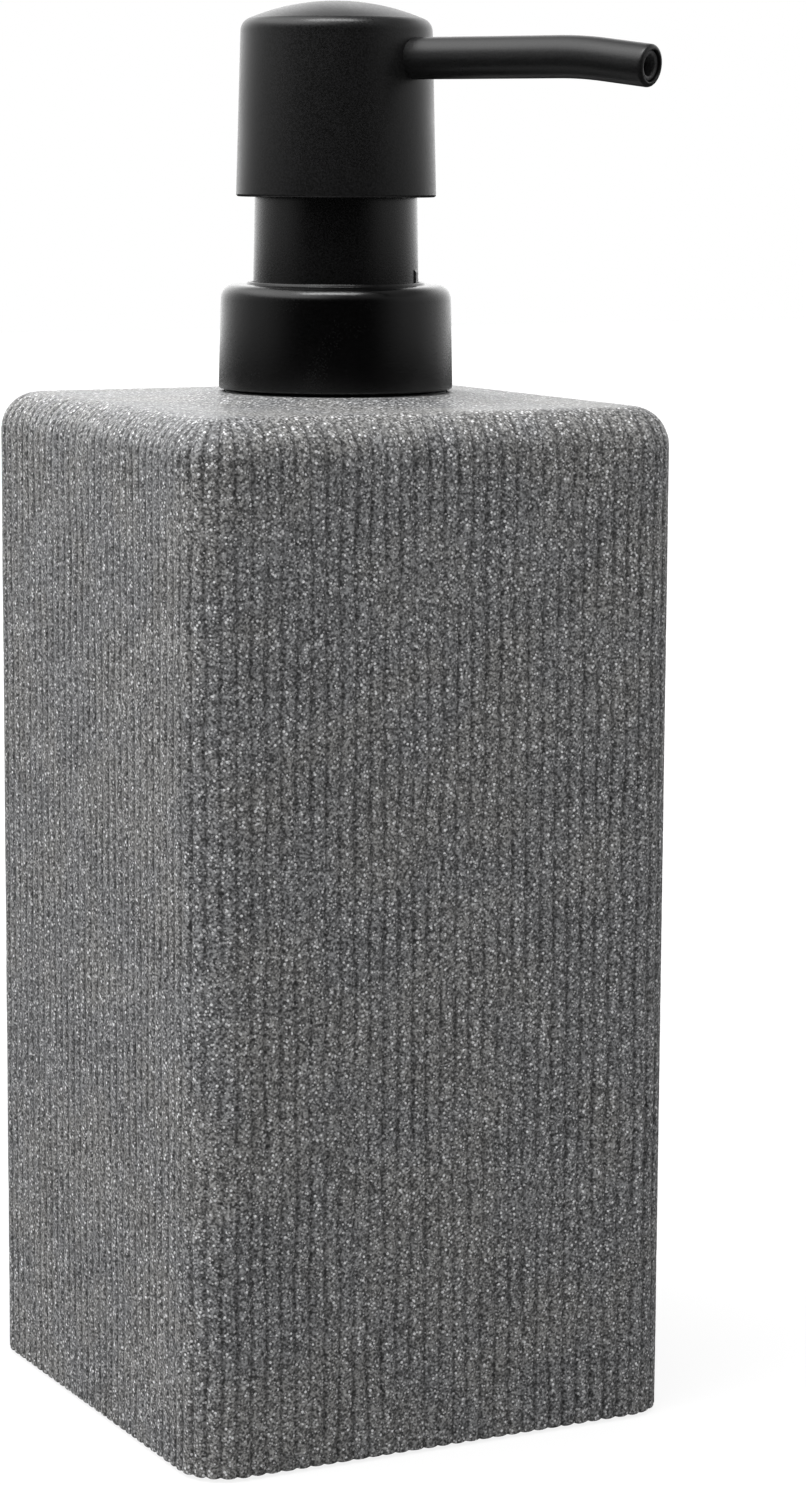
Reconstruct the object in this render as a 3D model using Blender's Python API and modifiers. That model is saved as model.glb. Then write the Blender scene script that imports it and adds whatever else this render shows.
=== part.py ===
"""Soap pump dispenser: a square bottle with a screw-on lotion pump.

Every size is in millimetres, counted up the Z axis from the underside of the
base pad, and is turned into metres where the meshes are made. The pump's axis
is the Z axis. The spout points to SPOUT_AZIMUTH, measured from +X.
"""

import math

import bmesh
import bpy
from mathutils import Matrix, Vector

MM = 0.001
GAP = 0.3

# Bottle: cast resin shell, base plate and pad
BODY_SIDE = 70.0
BODY_RIM_Z = 0.4
BODY_TOP_Z = 135.5
BODY_CORNER_R = 6.4
BODY_TOP_EDGE_R = 5.2
BODY_WALL = 5.5
CAVITY_CORNER_R = 4.0
CAVITY_TOP_EDGE_R = 2.5
MOUTH_R = 12.0
PAD_THICK = 1.2
PLATE_THICK = 5.0
FLOOR_FIT = 0.3
PAD_INSET = 0.1

# Threaded neck glued in the mouth
NECK_BORE_R = 9.1
NECK_R = 10.9
NECK_FLANGE_R = 14.8
NECK_FLANGE_THICK = 0.8
NECK_SPIGOT_LENGTH = 8.8
NECK_TOP_Z = 144.6
THREAD_LEAD = 3.2
THREAD_TURNS = 1.25
THREAD_RIDGE_R = 0.8
THREAD_END_TAPER = 0.45
NECK_THREAD_Z = 139.4
CLOSURE_THREAD_Z = 138.6

# Gasket, screw closure and the shell over it
GASKET_Z = NECK_TOP_Z + GAP
GASKET_THICK = 0.9
FLANGE_Z = GASKET_Z + GASKET_THICK + GAP
FLANGE_THICK = 1.0
FLANGE_R = 11.0
CLOSURE_PLATE_Z = FLANGE_Z + FLANGE_THICK + GAP
CLOSURE_PLATE_THICK = 1.0
CLOSURE_R = 13.9
CLOSURE_BORE_R = 12.9
CLOSURE_HOLE_R = 9.6
CLOSURE_RIM_Z = 137.2
COLLAR_RIM_Z = 136.9
COLLAR_TOP_Z = 150.8
COLLAR_RIM_R = 15.6
COLLAR_TOP_R = 15.3
COLLAR_BORE_R = 14.2
COLLAR_EDGE_R = 2.0
COLLAR_PLATE_Z = 148.8
COLLAR_HOLE_R = 11.35

# Guide sleeve on the housing
SLEEVE_Z = 148.7
SLEEVE_TOP_Z = 165.2
SLEEVE_R = 11.04
SLEEVE_TOP_R = 10.74
SLEEVE_WALL = 1.4
SLEEVE_FLOOR = 1.2
SLEEVE_SPIGOT_R = 6.9
SLEEVE_SPIGOT_BORE_R = 5.6
SLEEVE_SPIGOT_Z = 139.0
STEM_BUSH_R = 4.35

# Housing, inlet valve and dip tube
HOUSING_BORE_R = 7.2
HOUSING_R = 8.2
HOUSING_RIM_R = 8.9
HOUSING_RIM_Z = 148.3
VALVE_LEDGE_Z = 104.0
BALL_CHAMBER_R = 3.2
SEAT_TOP_Z = 99.5
SEAT_Z = 97.9
SEAT_BORE_R = 1.5
SOCKET_TOP_Z = 96.5
SOCKET_Z = 88.0
SOCKET_BORE_R = 2.75
SOCKET_R = 4.4
BALL_R = 2.3
BALL_Z = 100.1
CAGE_THICK = 1.2
CAGE_BOSS_R = 3.6
CAGE_BOSS_HEIGHT = 2.5
CAGE_SLOT = 1.2
DIP_TUBE_R = 2.4
DIP_TUBE_BORE_R = 1.7
DIP_TUBE_Z = 8.5
DIP_TUBE_TOP_Z = 95.9
DIP_TUBE_CUT_ANGLE = math.radians(35)

# Stem, plunger, piston and spring
STEM_R = 4.0
STEM_BORE_R = 2.3
STEM_Z = 139.6
STEM_TOP_Z = 175.5
PLUNGER_TAIL_Z = 125.5
PLUNGER_TAIL_R = 3.4
PLUNGER_FLANGE_Z = 128.0
PLUNGER_FLANGE_R = 5.2
PLUNGER_FLANGE_THICK = 2.0
PLUNGER_CORE_R = 3.0
PLUNGER_TIP_R = 2.0
PLUNGER_TIP_Z = 146.0
PLUNGER_BORE_R = 1.2
PORT_R = 0.6
PISTON_Z = PLUNGER_FLANGE_Z + PLUNGER_FLANGE_THICK + GAP
PISTON_HEIGHT = 6.0
PISTON_R = 6.9
PISTON_WAIST_R = 6.3
PISTON_LIP = 0.7
PISTON_RING = 0.9
PISTON_GROOVE = 1.2
SPRING_R = 4.75
SPRING_WIRE_R = 0.45
SPRING_Z = VALVE_LEDGE_Z + 2 * GAP + CAGE_THICK
SPRING_TOP_Z = PLUNGER_FLANGE_Z - GAP
SPRING_TURNS = 9
SPRING_END_PITCH = 1.2

# Head and spout
HEAD_RIM_Z = 162.2
HEAD_TOP_Z = 187.8
HEAD_RIM_R = 13.28
HEAD_SHOULDER_R = 12.66
HEAD_SHOULDER_Z = 184.0
HEAD_EDGE_R = 1.8
HEAD_DOME_R = 30.0
HEAD_WALL = 1.2
CORE_Z = 176.9
CORE_TOP_Z = 184.2
CORE_R = 11.1
CORE_SOCKET_R = 6.2
CORE_SOCKET_Z = 168.0
CORE_SOCKET_BORE_R = 4.3
CORE_SEAT_RADIUS = 7.0
CHANNEL_R = 1.5
SPOUT_AZIMUTH = math.radians(-62)
SPOUT_Z = 180.2
SPOUT_R = 2.72
SPOUT_BORE_R = 2.2
SPOUT_HOLE_R = 3.05
SPOUT_ROOT = 7.3
SPOUT_TIP = 48.6
SPOUT_BEND_START = 35.0
SPOUT_BEND_LENGTH = 6.5
SPOUT_DROOP = math.radians(7)
LINER_R = 1.85
LINER_BORE_R = 1.3
LINER_RECESS = 0.6

FINE = 48
MEDIUM = 32
COARSE = 20

for old in list(bpy.data.objects):
    bpy.data.objects.remove(old, do_unlink=True)


def new_collection(name):
    collection = bpy.data.collections.new(name)
    bpy.context.scene.collection.children.link(collection)
    return collection


PARTS = new_collection("soap_pump_dispenser")
CUTTERS = new_collection("cutters")


def plain_material(name, colour, roughness, metallic=0.0):
    material = bpy.data.materials.new(name)
    material.use_nodes = True
    shader = material.node_tree.nodes["Principled BSDF"]
    shader.inputs["Base Color"].default_value = (*colour, 1.0)
    shader.inputs["Roughness"].default_value = roughness
    shader.inputs["Metallic"].default_value = metallic
    return material


RESIN = plain_material("speckled_grey_resin", (0.20, 0.20, 0.19), 0.75)
BLACK = plain_material("satin_black_plastic", (0.018, 0.018, 0.020), 0.42)
NECK_BLACK = plain_material("neck_black_plastic", (0.03, 0.03, 0.03), 0.55)
NATURAL = plain_material("natural_polypropylene", (0.78, 0.79, 0.77), 0.45)
CLEAR = plain_material("natural_polyethylene_tube", (0.85, 0.86, 0.84), 0.30)
RUBBER = plain_material("white_gasket_foam", (0.80, 0.80, 0.78), 0.85)
PAD = plain_material("black_foam_pad", (0.02, 0.02, 0.02), 0.90)
STEEL = plain_material("stainless_steel", (0.60, 0.60, 0.61), 0.25, 1.0)


def body_pivot(name, z, parent=None):
    """An empty on the pump axis that carries the pieces of one moving body."""
    pivot = bpy.data.objects.new(name, None)
    pivot.empty_display_size = 5 * MM
    pivot.location.z = z * MM
    PARTS.objects.link(pivot)
    if parent:
        adopt(pivot, parent)
    return pivot


def adopt(child, parent):
    """Parent without moving: every pivot only stands at a height on the axis."""
    height = 0.0
    above = parent
    while above:
        height += above.location.z
        above = above.parent
    child.parent = parent
    child.location.z -= height


def finish(obj, material, parent=None, smooth_angle=35):
    obj.data.materials.clear()
    obj.data.materials.append(material)
    obj.data.shade_smooth()
    obj.data.set_sharp_from_angle(angle=math.radians(smooth_angle))
    if parent:
        adopt(obj, parent)
    return obj


def as_cutter(obj):
    for collection in list(obj.users_collection):
        collection.objects.unlink(obj)
    CUTTERS.objects.link(obj)
    obj.hide_render = True
    obj.display_type = "WIRE"
    return obj


def boolean(obj, other, operation="DIFFERENCE"):
    modifier = obj.modifiers.new(other.name, "BOOLEAN")
    modifier.operation = operation
    modifier.object = other
    modifier.solver = "EXACT"


def mesh_object(name, mesh, z=0.0):
    obj = bpy.data.objects.new(name, mesh)
    obj.location.z = z * MM
    PARTS.objects.link(obj)
    return obj


def turned(name, profile, steps=FINE, on_axis=False):
    """Turn (radius, height) points about Z. They run down the outside of the
    piece and, for a ring, back up its inside. The origin is on the axis at
    the profile's lowest point."""
    base = min(height for radius, height in profile)
    points = [(radius * MM, 0.0, (height - base) * MM) for radius, height in profile]
    edges = [(i, i + 1) for i in range(len(points) - 1)]
    if not on_axis:
        edges.append((len(points) - 1, 0))
    mesh = bpy.data.meshes.new(name)
    mesh.from_pydata(points, edges, [])
    obj = mesh_object(name, mesh, base)
    screw = obj.modifiers.new("turn", "SCREW")
    screw.axis = "Z"
    screw.steps = steps
    screw.render_steps = steps
    screw.use_smooth_shade = True
    screw.use_merge_vertices = True
    screw.merge_threshold = 0.00001
    return baked(obj)


def baked(obj):
    """Replace the object's mesh with its evaluated one, and clear its modifiers."""
    graph = bpy.context.evaluated_depsgraph_get()
    mesh = bpy.data.meshes.new_from_object(obj.evaluated_get(graph))
    obj.modifiers.clear()
    obj.data = mesh
    mesh.name = obj.name
    return obj


def arc(radius, height, size, start, end, count):
    """Points on an arc about (radius, height), from one angle to another."""
    angles = [start + (end - start) * i / count for i in range(count + 1)]
    return [
        (radius + size * math.cos(a), height + size * math.sin(a)) for a in angles
    ]


def rounded_block(name, side, bottom, top, corner_r, top_edge_r=0.0, segments=6):
    """A square block with rounded upright edges and, if asked, a rounded top."""
    bm = bmesh.new()
    size = Matrix.Diagonal((side * MM, side * MM, (top - bottom) * MM, 1.0))
    lift = Matrix.Translation((0.0, 0.0, (top - bottom) * MM / 2))
    bmesh.ops.create_cube(bm, size=1.0, matrix=lift @ size)
    upright = [e for e in bm.edges if abs(e.verts[0].co.z - e.verts[1].co.z) > MM]
    bevel(bm, upright, corner_r, segments)
    if top_edge_r:
        lid = max(bm.faces, key=lambda f: f.calc_center_median().z)
        bevel(bm, list(lid.edges), top_edge_r, segments)
    mesh = bpy.data.meshes.new(name)
    bm.to_mesh(mesh)
    bm.free()
    return mesh_object(name, mesh, bottom)


def bevel(bm, edges, size, segments):
    bmesh.ops.bevel(
        bm,
        geom=edges,
        offset=size * MM,
        offset_type="OFFSET",
        segments=segments,
        profile=0.5,
        affect="EDGES",
        clamp_overlap=False,
    )


def rod(name, points, radius, resolution=2, end_taper=1.0):
    """A solid tube along points in millimetres, as a closed mesh."""
    curve = bpy.data.curves.new(name, "CURVE")
    curve.dimensions = "3D"
    curve.bevel_depth = radius * MM
    curve.bevel_resolution = resolution
    curve.use_fill_caps = True
    spline = curve.splines.new("POLY")
    spline.points.add(len(points) - 1)
    for place, point in zip(spline.points, points):
        place.co = (*(Vector(point) * MM), 1.0)
        place.radius = 1.0
    spline.points[0].radius = end_taper
    spline.points[-1].radius = end_taper
    guide = bpy.data.objects.new(name + "_guide", curve)
    PARTS.objects.link(guide)
    bpy.context.view_layer.update()
    graph = bpy.context.evaluated_depsgraph_get()
    mesh = bpy.data.meshes.new_from_object(guide.evaluated_get(graph))
    bm = bmesh.new()
    bm.from_mesh(mesh)
    bmesh.ops.remove_doubles(bm, verts=bm.verts, dist=0.000001)
    bm.to_mesh(mesh)
    bm.free()
    obj = mesh_object(name, mesh)
    obj.matrix_world = guide.matrix_world
    bpy.data.objects.remove(guide, do_unlink=True)
    return obj


def helix(radius, bottom, turns, lead, per_turn=20):
    count = int(turns * per_turn)
    points = []
    for i in range(count + 1):
        angle = math.tau * i / per_turn
        height = bottom + lead * i / per_turn
        points.append((radius * math.cos(angle), radius * math.sin(angle), height))
    return points


def cylinder_cutter(name, radius, start, end, steps=COARSE):
    """A round cutter between two points given in millimetres."""
    start = Vector(start) * MM
    end = Vector(end) * MM
    way = end - start
    turn = way.to_track_quat("Z", "Y").to_matrix().to_4x4()
    middle = Matrix.Translation((start + end) / 2)
    bm = bmesh.new()
    bmesh.ops.create_cone(
        bm,
        cap_ends=True,
        segments=steps,
        radius1=radius * MM,
        radius2=radius * MM,
        depth=way.length,
        matrix=middle @ turn,
    )
    mesh = bpy.data.meshes.new(name)
    bm.to_mesh(mesh)
    bm.free()
    return as_cutter(mesh_object(name, mesh))


def along_spout(distance, height):
    """The point at this distance from the pump axis on the spout's side."""
    across = math.cos(SPOUT_AZIMUTH) * distance
    forward = math.sin(SPOUT_AZIMUTH) * distance
    return (across, forward, height)


# Bottle


def make_bottle_body():
    body = rounded_block(
        "bottle_body",
        BODY_SIDE,
        BODY_RIM_Z,
        BODY_TOP_Z,
        BODY_CORNER_R,
        BODY_TOP_EDGE_R,
    )
    cavity_side = BODY_SIDE - 2 * BODY_WALL
    ceiling = BODY_TOP_Z - BODY_WALL
    cavity = rounded_block(
        "cavity", cavity_side, -1.0, ceiling, CAVITY_CORNER_R, CAVITY_TOP_EDGE_R, 4
    )
    boolean(body, as_cutter(cavity))
    mouth_bottom = (0.0, 0.0, ceiling - BODY_WALL)
    mouth_top = (0.0, 0.0, BODY_TOP_Z + BODY_WALL)
    boolean(body, cylinder_cutter("mouth", MOUTH_R, mouth_bottom, mouth_top, FINE))
    return finish(body, RESIN)


def make_base_pad():
    side = BODY_SIDE - 2 * (BODY_WALL + FLOOR_FIT + PAD_INSET)
    corner = CAVITY_CORNER_R - FLOOR_FIT
    pad = rounded_block("base_pad", side, 0.0, PAD_THICK, corner)
    return finish(pad, PAD)


def make_base_plate():
    side = BODY_SIDE - 2 * BODY_WALL - 2 * FLOOR_FIT
    bottom = PAD_THICK + GAP
    corner = CAVITY_CORNER_R - FLOOR_FIT
    plate = rounded_block("base_plate", side, bottom, bottom + PLATE_THICK, corner)
    return finish(plate, RESIN)


def make_neck_insert():
    """A flanged tube: a plain spigot in the mouth below, a thread above."""
    flange_z = BODY_TOP_Z + GAP
    spigot_z = flange_z - NECK_SPIGOT_LENGTH
    flange_top = flange_z + NECK_FLANGE_THICK
    profile = [
        (NECK_R - 0.4, NECK_TOP_Z),
        (NECK_R, NECK_TOP_Z - 0.4),
        (NECK_R, flange_top),
        (NECK_FLANGE_R, flange_top),
        (NECK_FLANGE_R, flange_z),
        (MOUTH_R - GAP, flange_z),
        (MOUTH_R - GAP, spigot_z),
        (NECK_BORE_R, spigot_z),
        (NECK_BORE_R, NECK_TOP_Z),
    ]
    neck = turned("neck_insert", profile)
    route = helix(NECK_R + 0.2, NECK_THREAD_Z, THREAD_TURNS, THREAD_LEAD)
    ridge = rod("neck_thread", route, THREAD_RIDGE_R, 1, THREAD_END_TAPER)
    boolean(neck, as_cutter(ridge), "UNION")
    return finish(neck, NECK_BLACK)


# Closure


def make_neck_gasket(parent):
    outer = NECK_R - 0.1
    inner = HOUSING_R + GAP
    top = GASKET_Z + GASKET_THICK
    profile = [(outer, top), (outer, GASKET_Z), (inner, GASKET_Z), (inner, top)]
    return finish(turned("neck_gasket", profile, MEDIUM), RUBBER, parent)


def make_screw_closure(parent):
    top = CLOSURE_PLATE_Z + CLOSURE_PLATE_THICK
    profile = [
        (CLOSURE_HOLE_R, top),
        (CLOSURE_R - 0.5, top),
        (CLOSURE_R, top - 0.5),
        (CLOSURE_R, CLOSURE_RIM_Z),
        (CLOSURE_BORE_R, CLOSURE_RIM_Z),
        (CLOSURE_BORE_R, CLOSURE_PLATE_Z),
        (CLOSURE_HOLE_R, CLOSURE_PLATE_Z),
    ]
    closure = turned("screw_closure", profile)
    route = helix(CLOSURE_BORE_R + 0.1, CLOSURE_THREAD_Z, THREAD_TURNS, THREAD_LEAD)
    ridge = rod("closure_thread", route, THREAD_RIDGE_R, 1, THREAD_END_TAPER)
    boolean(closure, as_cutter(ridge), "UNION")
    return finish(closure, NECK_BLACK, parent)


def make_closure_shell(parent):
    """The smooth collar: a slightly tapered cup with a rounded top edge."""
    edge_z = COLLAR_TOP_Z - 0.3 - COLLAR_EDGE_R
    profile = [(COLLAR_HOLE_R, COLLAR_TOP_Z)]
    profile += arc(
        COLLAR_TOP_R - COLLAR_EDGE_R, edge_z, COLLAR_EDGE_R, math.pi / 2, 0.0, 6
    )
    profile += [
        (COLLAR_RIM_R, COLLAR_RIM_Z + 0.3),
        (COLLAR_RIM_R - 0.3, COLLAR_RIM_Z),
        (COLLAR_BORE_R, COLLAR_RIM_Z),
        (COLLAR_BORE_R, COLLAR_PLATE_Z),
        (COLLAR_HOLE_R, COLLAR_PLATE_Z),
    ]
    return finish(turned("closure_shell", profile), BLACK, parent)


# Pump unit


def make_pump_housing(parent):
    """Flange and rim at the top, cylinder, valve seat, dip tube socket."""
    profile = [
        (HOUSING_RIM_R, HOUSING_RIM_Z),
        (HOUSING_RIM_R, FLANGE_Z + FLANGE_THICK),
        (FLANGE_R, FLANGE_Z + FLANGE_THICK),
        (FLANGE_R, FLANGE_Z),
        (HOUSING_R, FLANGE_Z),
        (HOUSING_R, VALVE_LEDGE_Z - 3.0),
        (SOCKET_R, SOCKET_TOP_Z + 0.5),
        (SOCKET_R, SOCKET_Z),
        (SOCKET_BORE_R, SOCKET_Z),
        (SOCKET_BORE_R, SOCKET_TOP_Z),
        (SEAT_BORE_R, SOCKET_TOP_Z),
        (SEAT_BORE_R, SEAT_Z),
        (BALL_CHAMBER_R, SEAT_TOP_Z),
        (BALL_CHAMBER_R, VALVE_LEDGE_Z),
        (HOUSING_BORE_R, VALVE_LEDGE_Z),
        (HOUSING_BORE_R, HOUSING_RIM_Z),
    ]
    return finish(turned("pump_housing", profile, MEDIUM), NATURAL, parent)


def make_guide_sleeve(parent):
    """The fixed sleeve that the head slides over, with the stem's bush."""
    floor_top = SLEEVE_Z + SLEEVE_FLOOR
    bush_z = SLEEVE_Z - SLEEVE_FLOOR
    top_bore = SLEEVE_TOP_R - SLEEVE_WALL
    profile = arc(
        SLEEVE_TOP_R - 0.5, SLEEVE_TOP_Z - 0.5, 0.5, math.pi / 2, 0.0, 3
    )
    profile += [
        (SLEEVE_R, SLEEVE_Z),
        (SLEEVE_SPIGOT_R, SLEEVE_Z),
        (SLEEVE_SPIGOT_R, SLEEVE_SPIGOT_Z),
        (SLEEVE_SPIGOT_BORE_R, SLEEVE_SPIGOT_Z),
        (SLEEVE_SPIGOT_BORE_R, bush_z),
        (STEM_BUSH_R, bush_z),
        (STEM_BUSH_R, floor_top),
        (SLEEVE_R - SLEEVE_WALL, floor_top),
        (top_bore, SLEEVE_TOP_Z - 0.2),
        (top_bore + 0.2, SLEEVE_TOP_Z),
    ]
    return finish(turned("guide_sleeve", profile), BLACK, parent)


def make_valve_cage(parent):
    """Keeps the ball in its chamber. A cross slot below lets liquid past it."""
    bottom = VALVE_LEDGE_Z + GAP
    plate_top = bottom + CAGE_THICK
    boss_top = plate_top + CAGE_BOSS_HEIGHT
    profile = [
        (CAGE_BOSS_R, boss_top),
        (CAGE_BOSS_R, plate_top),
        (HOUSING_BORE_R - GAP, plate_top),
        (HOUSING_BORE_R - GAP, bottom),
        (SEAT_BORE_R, bottom),
        (SEAT_BORE_R, boss_top),
    ]
    cage = turned("valve_cage", profile, COARSE)
    depth = CAGE_THICK / 2
    for quarter in range(2):
        bm = bmesh.new()
        size = (2 * BALL_CHAMBER_R * MM, CAGE_SLOT * MM, 2 * depth * MM, 1.0)
        bmesh.ops.create_cube(bm, size=1.0, matrix=Matrix.Diagonal(size))
        mesh = bpy.data.meshes.new("cage_slot")
        bm.to_mesh(mesh)
        bm.free()
        slot = mesh_object(f"cage_slot_{quarter}", mesh, bottom)
        slot.rotation_euler.z = quarter * math.pi / 2
        boolean(cage, as_cutter(slot))
    return finish(cage, NATURAL, parent)


def make_dip_tube(parent):
    """A straight tube whose foot is cut on a slant so that it can't seal."""
    profile = [
        (DIP_TUBE_R, DIP_TUBE_TOP_Z),
        (DIP_TUBE_R, DIP_TUBE_Z),
        (DIP_TUBE_BORE_R, DIP_TUBE_Z),
        (DIP_TUBE_BORE_R, DIP_TUBE_TOP_Z),
    ]
    tube = turned("dip_tube", profile, COARSE)
    rise = DIP_TUBE_R * math.tan(DIP_TUBE_CUT_ANGLE)
    middle = Vector((0.0, 0.0, DIP_TUBE_Z + rise))
    slant = Vector((0.0, math.sin(DIP_TUBE_CUT_ANGLE), -math.cos(DIP_TUBE_CUT_ANGLE)))
    beyond = middle + slant * 4 * DIP_TUBE_R
    boolean(tube, cylinder_cutter("slant_cut", 3 * DIP_TUBE_R, middle, beyond))
    return finish(tube, CLEAR, parent)


def make_return_spring(parent):
    """A coil with one close turn at each end and even turns between."""
    per_turn = 12
    bottom = SPRING_Z + SPRING_WIRE_R
    rise = SPRING_TOP_Z - SPRING_Z - 2 * SPRING_WIRE_R
    open_rise = rise - 2 * SPRING_END_PITCH
    points = []
    for i in range(SPRING_TURNS * per_turn + 1):
        turn = i / per_turn
        open_turns = min(max(turn - 1.0, 0.0), SPRING_TURNS - 2.0)
        closed_turns = turn - open_turns
        height = bottom + closed_turns * SPRING_END_PITCH
        height += open_rise * open_turns / (SPRING_TURNS - 2.0)
        angle = math.tau * turn
        points.append((SPRING_R * math.cos(angle), SPRING_R * math.sin(angle), height))
    return finish(rod("return_spring", points, SPRING_WIRE_R, 1), STEEL, parent)


def make_inlet_ball(parent):
    bm = bmesh.new()
    bmesh.ops.create_uvsphere(bm, u_segments=16, v_segments=10, radius=BALL_R * MM)
    mesh = bpy.data.meshes.new("inlet_ball")
    bm.to_mesh(mesh)
    bm.free()
    return finish(mesh_object("inlet_ball", mesh, BALL_Z), STEEL, parent)


# Stem


def make_stem(parent):
    profile = [
        (STEM_R - 0.3, STEM_TOP_Z),
        (STEM_R, STEM_TOP_Z - 0.3),
        (STEM_R, STEM_Z),
        (STEM_BORE_R, STEM_Z),
        (STEM_BORE_R, STEM_TOP_Z),
    ]
    return finish(turned("stem", profile, MEDIUM), NATURAL, parent)


def make_plunger(parent):
    """The stem's lower end: the piston's seat, with ports into a bore above."""
    flange_top = PLUNGER_FLANGE_Z + PLUNGER_FLANGE_THICK
    core_top = STEM_Z - GAP
    profile = [
        (PLUNGER_BORE_R, PLUNGER_TIP_Z),
        (PLUNGER_TIP_R, PLUNGER_TIP_Z),
        (PLUNGER_TIP_R, core_top),
        (PLUNGER_CORE_R, core_top),
        (PLUNGER_CORE_R, flange_top),
        (PLUNGER_FLANGE_R, flange_top),
        (PLUNGER_FLANGE_R, PLUNGER_FLANGE_Z),
        (PLUNGER_TAIL_R, PLUNGER_FLANGE_Z),
        (PLUNGER_TAIL_R - 0.8, PLUNGER_TAIL_Z),
        (0.0, PLUNGER_TAIL_Z),
        (0.0, flange_top + 0.3),
        (PLUNGER_BORE_R, flange_top + 0.5),
    ]
    plunger = turned("plunger", profile, COARSE)
    port_z = flange_top + 0.4 + PORT_R
    reach = PLUNGER_CORE_R + 1.0
    left = (-reach, 0.0, port_z)
    right = (reach, 0.0, port_z)
    boolean(plunger, cylinder_cutter("ports", PORT_R, left, right, 12))
    return finish(plunger, NATURAL, parent)


def make_piston(parent):
    """A ring with a sealing lip at each end and a waist between them."""
    top = PISTON_Z + PISTON_HEIGHT
    bore = PLUNGER_CORE_R + GAP
    ring = bore + PISTON_RING
    groove = PISTON_WAIST_R - PISTON_RING
    lip_end = PISTON_GROOVE + 0.3
    profile = [
        (PISTON_R - PISTON_LIP, top),
        (PISTON_R, top),
        (PISTON_WAIST_R, top - lip_end),
        (PISTON_WAIST_R, PISTON_Z + lip_end),
        (PISTON_R, PISTON_Z),
        (PISTON_R - PISTON_LIP, PISTON_Z),
        (groove, PISTON_Z + PISTON_GROOVE),
        (ring, PISTON_Z + PISTON_GROOVE),
        (ring, PISTON_Z),
        (bore, PISTON_Z),
        (bore, top),
        (ring, top),
        (ring, top - PISTON_GROOVE),
        (groove, top - PISTON_GROOVE),
    ]
    return finish(turned("piston", profile, MEDIUM), CLEAR, parent)


# Head


def dome_z(radius, top):
    """Height of the head's shallow spherical top at a radius."""
    return top - HEAD_DOME_R + math.sqrt(HEAD_DOME_R**2 - radius**2)


def make_head_shell(parent):
    """A tapered cup, upside down, with a domed top and a hole for the spout."""
    shoulder = HEAD_SHOULDER_R - HEAD_EDGE_R
    dome_tilt = math.asin(shoulder / HEAD_DOME_R)
    edge_z = dome_z(shoulder, HEAD_TOP_Z) - HEAD_EDGE_R * math.cos(dome_tilt)
    outside = [(0.0, HEAD_TOP_Z)]
    for i in range(1, 6):
        radius = shoulder * i / 6
        outside.append((radius, dome_z(radius, HEAD_TOP_Z)))
    outside += arc(shoulder, edge_z, HEAD_EDGE_R, math.pi / 2 - dome_tilt, 0.0, 6)
    outside += [(HEAD_RIM_R, HEAD_RIM_Z + 0.3), (HEAD_RIM_R - 0.3, HEAD_RIM_Z)]
    ceiling = HEAD_TOP_Z - HEAD_WALL
    inner_shoulder = HEAD_SHOULDER_R - HEAD_WALL
    inside = [
        (HEAD_RIM_R - HEAD_WALL, HEAD_RIM_Z),
        (inner_shoulder, HEAD_SHOULDER_Z),
        (inner_shoulder - 0.8, dome_z(inner_shoulder, ceiling)),
    ]
    for i in range(3, 0, -1):
        radius = (inner_shoulder - 0.8) * i / 4
        inside.append((radius, dome_z(radius, ceiling)))
    inside.append((0.0, ceiling))
    shell = turned("head_shell", outside + inside, FINE, on_axis=True)
    start = along_spout(HEAD_RIM_R - 4.0, SPOUT_Z)
    end = along_spout(HEAD_RIM_R + 4.0, SPOUT_Z)
    boolean(shell, cylinder_cutter("spout_hole", SPOUT_HOLE_R, start, end, FINE // 2))
    return finish(shell, BLACK, parent)


def make_head_core(parent):
    """The plug inside the head: stem socket below, channel to the spout."""
    socket_top = STEM_TOP_Z + GAP
    profile = [
        (0.0, CORE_TOP_Z),
        (CORE_R - 0.9, CORE_TOP_Z),
        (CORE_R, CORE_TOP_Z - 0.6),
        (CORE_R, CORE_Z),
        (CORE_SOCKET_R, CORE_Z),
        (CORE_SOCKET_R, CORE_SOCKET_Z),
        (CORE_SOCKET_BORE_R, CORE_SOCKET_Z),
        (CORE_SOCKET_BORE_R, socket_top),
        (STEM_BORE_R, socket_top),
        (STEM_BORE_R, SPOUT_Z),
        (0.0, SPOUT_Z + 1.0),
    ]
    core = turned("head_core", profile, MEDIUM, on_axis=True)
    start = along_spout(0.0, SPOUT_Z)
    seat = along_spout(CORE_SEAT_RADIUS, SPOUT_Z)
    outside = along_spout(CORE_R + 4.0, SPOUT_Z)
    boolean(core, cylinder_cutter("channel", CHANNEL_R, start, outside))
    boolean(core, cylinder_cutter("tube_seat", SPOUT_HOLE_R, seat, outside))
    return finish(core, NATURAL, parent)


def spout_line(start, end, count=14):
    """The spout's centre line: straight out, a gentle bend, straight down it."""
    points = []
    for i in range(count + 1):
        distance = start + (end - start) * i / count
        bent = min(max(distance - SPOUT_BEND_START, 0.0), SPOUT_BEND_LENGTH)
        past = max(distance - SPOUT_BEND_START - SPOUT_BEND_LENGTH, 0.0)
        slope = math.tan(SPOUT_DROOP)
        drop = slope * bent**2 / (2 * SPOUT_BEND_LENGTH) + slope * past
        points.append(along_spout(distance, SPOUT_Z - drop))
    return points


def make_pipe(name, start, end, radius, bore, material, parent):
    pipe = rod(name, spout_line(start, end), radius, 4)
    bore_line = spout_line(start - 1.0, end + 1.0)
    boolean(pipe, as_cutter(rod(name + "_bore", bore_line, bore, 4)))
    return finish(pipe, material, parent)


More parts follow.
